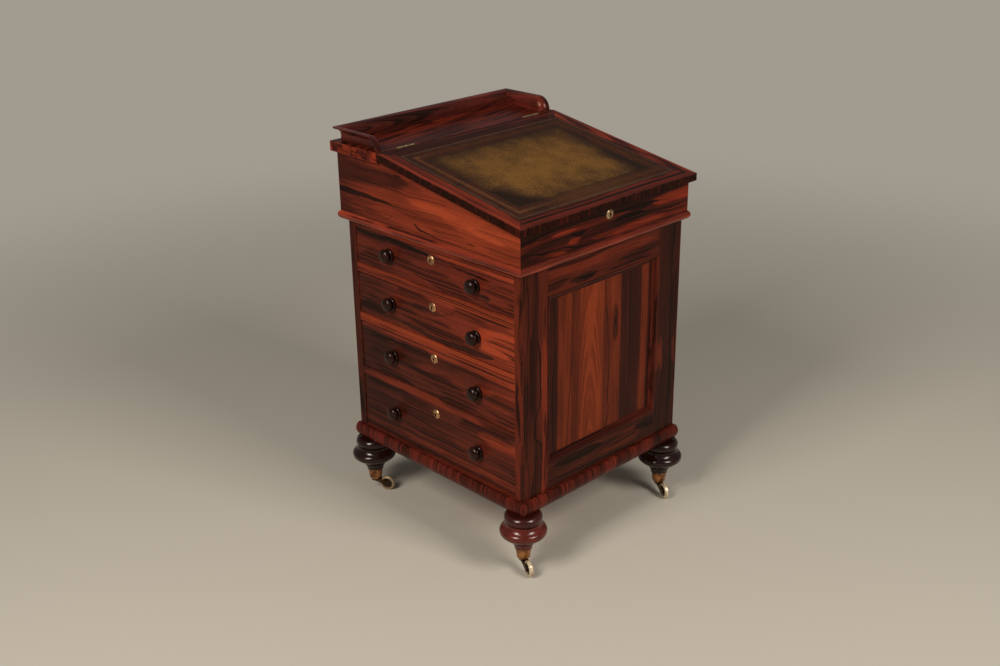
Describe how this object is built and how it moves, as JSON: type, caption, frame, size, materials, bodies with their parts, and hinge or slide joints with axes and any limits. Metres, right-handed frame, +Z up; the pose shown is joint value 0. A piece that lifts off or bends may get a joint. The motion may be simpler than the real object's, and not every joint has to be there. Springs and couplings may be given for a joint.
{
  "type": "davenport desk",
  "caption": "Small writing desk: a pedestal of side-opening drawers on turned feet with casters, under a sliding desk box with a hinged leathered slope and a low gallery.",
  "frame": {"origin": "on the floor, under the middle of the pedestal", "axes": "+Z up; the writer sits on the -Y side and faces +Y; +X is the writer's right, and the drawers open towards -X"},
  "size_m": [0.57, 0.61, 0.9],
  "materials": {
    "frame_rosewood": "polished rosewood veneer",
    "panel_rosewood": "polished figured rosewood veneer",
    "moulding_rosewood": "polished rosewood",
    "plinth_rosewood": "polished crossbanded rosewood",
    "turned_rosewood": "polished turned rosewood",
    "knob_rosewood": "polished dark rosewood",
    "drawer_rosewood": "polished rosewood veneer",
    "drawer_lining": "waxed mahogany lining",
    "carcase_softwood": "bare pine",
    "slide_hardwood": "waxed oak",
    "desk_rosewood": "polished rosewood veneer",
    "desk_front_rosewood": "polished figured rosewood veneer",
    "shelf_rosewood": "polished crossbanded rosewood",
    "gallery_rosewood": "polished rosewood moulding",
    "slope_rosewood": "polished crossbanded rosewood",
    "writing_leather": "worn tooled hide",
    "fitment_wood": "waxed mahogany",
    "brass": "worn polished brass"
  },
  "bodies": {
    "pedestal": {"front_frame": "frame_rosewood", "front_panel": "panel_rosewood", "front_panel_moulding": "moulding_rosewood", "back_frame": "frame_rosewood", "back_panel": "panel_rosewood", "back_panel_moulding": "moulding_rosewood", "plinth_moulding": "plinth_rosewood", "base_board": "carcase_softwood", "drawer_rails": "frame_rosewood", "drawer_runners": "carcase_softwood", "end_board": "carcase_softwood", "dummy_rails": "frame_rosewood", "dummy_drawer_fronts": "drawer_rosewood", "dummy_knobs": "knob_rosewood", "dummy_escutcheons": "brass", "pedestal_top": "carcase_softwood", "slide_rails": "slide_hardwood", "turned_feet": "turned_rosewood", "caster_cups": "brass"},
    "desk": {"desk_back": "desk_rosewood", "desk_sides": "desk_rosewood", "desk_front": "desk_front_rosewood", "desk_bottom": "carcase_softwood", "desk_base_moulding": "moulding_rosewood", "desk_shelf": "shelf_rosewood", "gallery": "gallery_rosewood", "desk_lockset": "brass", "desk_hinge_leaves": "brass", "pigeonhole_fitment": "fitment_wood"},
    "slope": {"slope_board": "slope_rosewood", "slope_leather": "writing_leather", "slope_hinge_leaves": "brass", "slope_catch_plate": "brass"},
    "inner_drawer_left": {"inner_drawer_left": "fitment_wood"},
    "inner_drawer_right": {"inner_drawer_right": "fitment_wood"},
    "drawer_1": {"drawer_1_front": "drawer_rosewood", "drawer_1_box": "drawer_lining", "drawer_1_knobs": "knob_rosewood", "drawer_1_lockset": "brass"},
    "drawer_2": {"drawer_2_front": "drawer_rosewood", "drawer_2_box": "drawer_lining", "drawer_2_knobs": "knob_rosewood", "drawer_2_lockset": "brass"},
    "drawer_3": {"drawer_3_front": "drawer_rosewood", "drawer_3_box": "drawer_lining", "drawer_3_knobs": "knob_rosewood", "drawer_3_lockset": "brass"},
    "drawer_4": {"drawer_4_front": "drawer_rosewood", "drawer_4_box": "drawer_lining", "drawer_4_knobs": "knob_rosewood", "drawer_4_lockset": "brass"},
    "fork_front_left": {"caster_fork_front_left": "brass"},
    "wheel_front_left": {"caster_wheel_front_left": "brass"},
    "fork_front_right": {"caster_fork_front_right": "brass"},
    "wheel_front_right": {"caster_wheel_front_right": "brass"},
    "fork_back_left": {"caster_fork_back_left": "brass"},
    "wheel_back_left": {"caster_wheel_back_left": "brass"},
    "fork_back_right": {"caster_fork_back_right": "brass"},
    "wheel_back_right": {"caster_wheel_back_right": "brass"}
  },
  "joints": [
    {"name": "desk_slide", "type": "slide", "parent": "pedestal", "child": "desk", "axis": [0, -1, 0], "range_m": [0, 0.2]},
    {"name": "slope_hinge", "type": "hinge", "parent": "desk", "child": "slope", "pos_m": [0, 0.1365, 0.869], "axis": [-1, 0, 0], "range_deg": [0, 105]},
    {"name": "drawer_1_slide", "type": "slide", "parent": "pedestal", "child": "drawer_1", "axis": [-1, 0, 0], "range_m": [0, 0.34]},
    {"name": "drawer_2_slide", "type": "slide", "parent": "pedestal", "child": "drawer_2", "axis": [-1, 0, 0], "range_m": [0, 0.34]},
    {"name": "drawer_3_slide", "type": "slide", "parent": "pedestal", "child": "drawer_3", "axis": [-1, 0, 0], "range_m": [0, 0.34]},
    {"name": "drawer_4_slide", "type": "slide", "parent": "pedestal", "child": "drawer_4", "axis": [-1, 0, 0], "range_m": [0, 0.34]},
    {"name": "inner_drawer_left_slide", "type": "slide", "parent": "desk", "child": "inner_drawer_left", "axis": [0, -1, 0], "range_m": [0, 0.08]},
    {"name": "inner_drawer_right_slide", "type": "slide", "parent": "desk", "child": "inner_drawer_right", "axis": [0, -1, 0], "range_m": [0, 0.08]},
    {"name": "swivel_front_left", "type": "hinge", "parent": "pedestal", "child": "fork_front_left", "pos_m": [-0.233, -0.253, 0.03], "axis": [0, 0, 1], "continuous": true},
    {"name": "roll_front_left", "type": "hinge", "parent": "fork_front_left", "child": "wheel_front_left", "pos_m": [-0.24472, -0.28062, 0.018], "axis": [0.9205, -0.3907, 0], "continuous": true},
    {"name": "swivel_front_right", "type": "hinge", "parent": "pedestal", "child": "fork_front_right", "pos_m": [0.233, -0.253, 0.03], "axis": [0, 0, 1], "continuous": true},
    {"name": "roll_front_right", "type": "hinge", "parent": "fork_front_right", "child": "wheel_front_right", "pos_m": [0.22032, -0.28019, 0.018], "axis": [0.9063, -0.4226, 0], "continuous": true},
    {"name": "swivel_back_left", "type": "hinge", "parent": "pedestal", "child": "fork_back_left", "pos_m": [-0.233, 0.253, 0.03], "axis": [0, 0, 1], "continuous": true},
    {"name": "roll_back_left", "type": "hinge", "parent": "fork_back_left", "child": "wheel_back_left", "pos_m": [-0.218, 0.22702, 0.018], "axis": [0.866, 0.5, 0], "continuous": true},
    {"name": "swivel_back_right", "type": "hinge", "parent": "pedestal", "child": "fork_back_right", "pos_m": [0.233, 0.253, 0.03], "axis": [0, 0, 1], "continuous": true},
    {"name": "roll_back_right", "type": "hinge", "parent": "fork_back_right", "child": "wheel_back_right", "pos_m": [0.24077, 0.22402, 0.018], "axis": [0.9659, 0.2588, 0], "continuous": true}
  ]
}
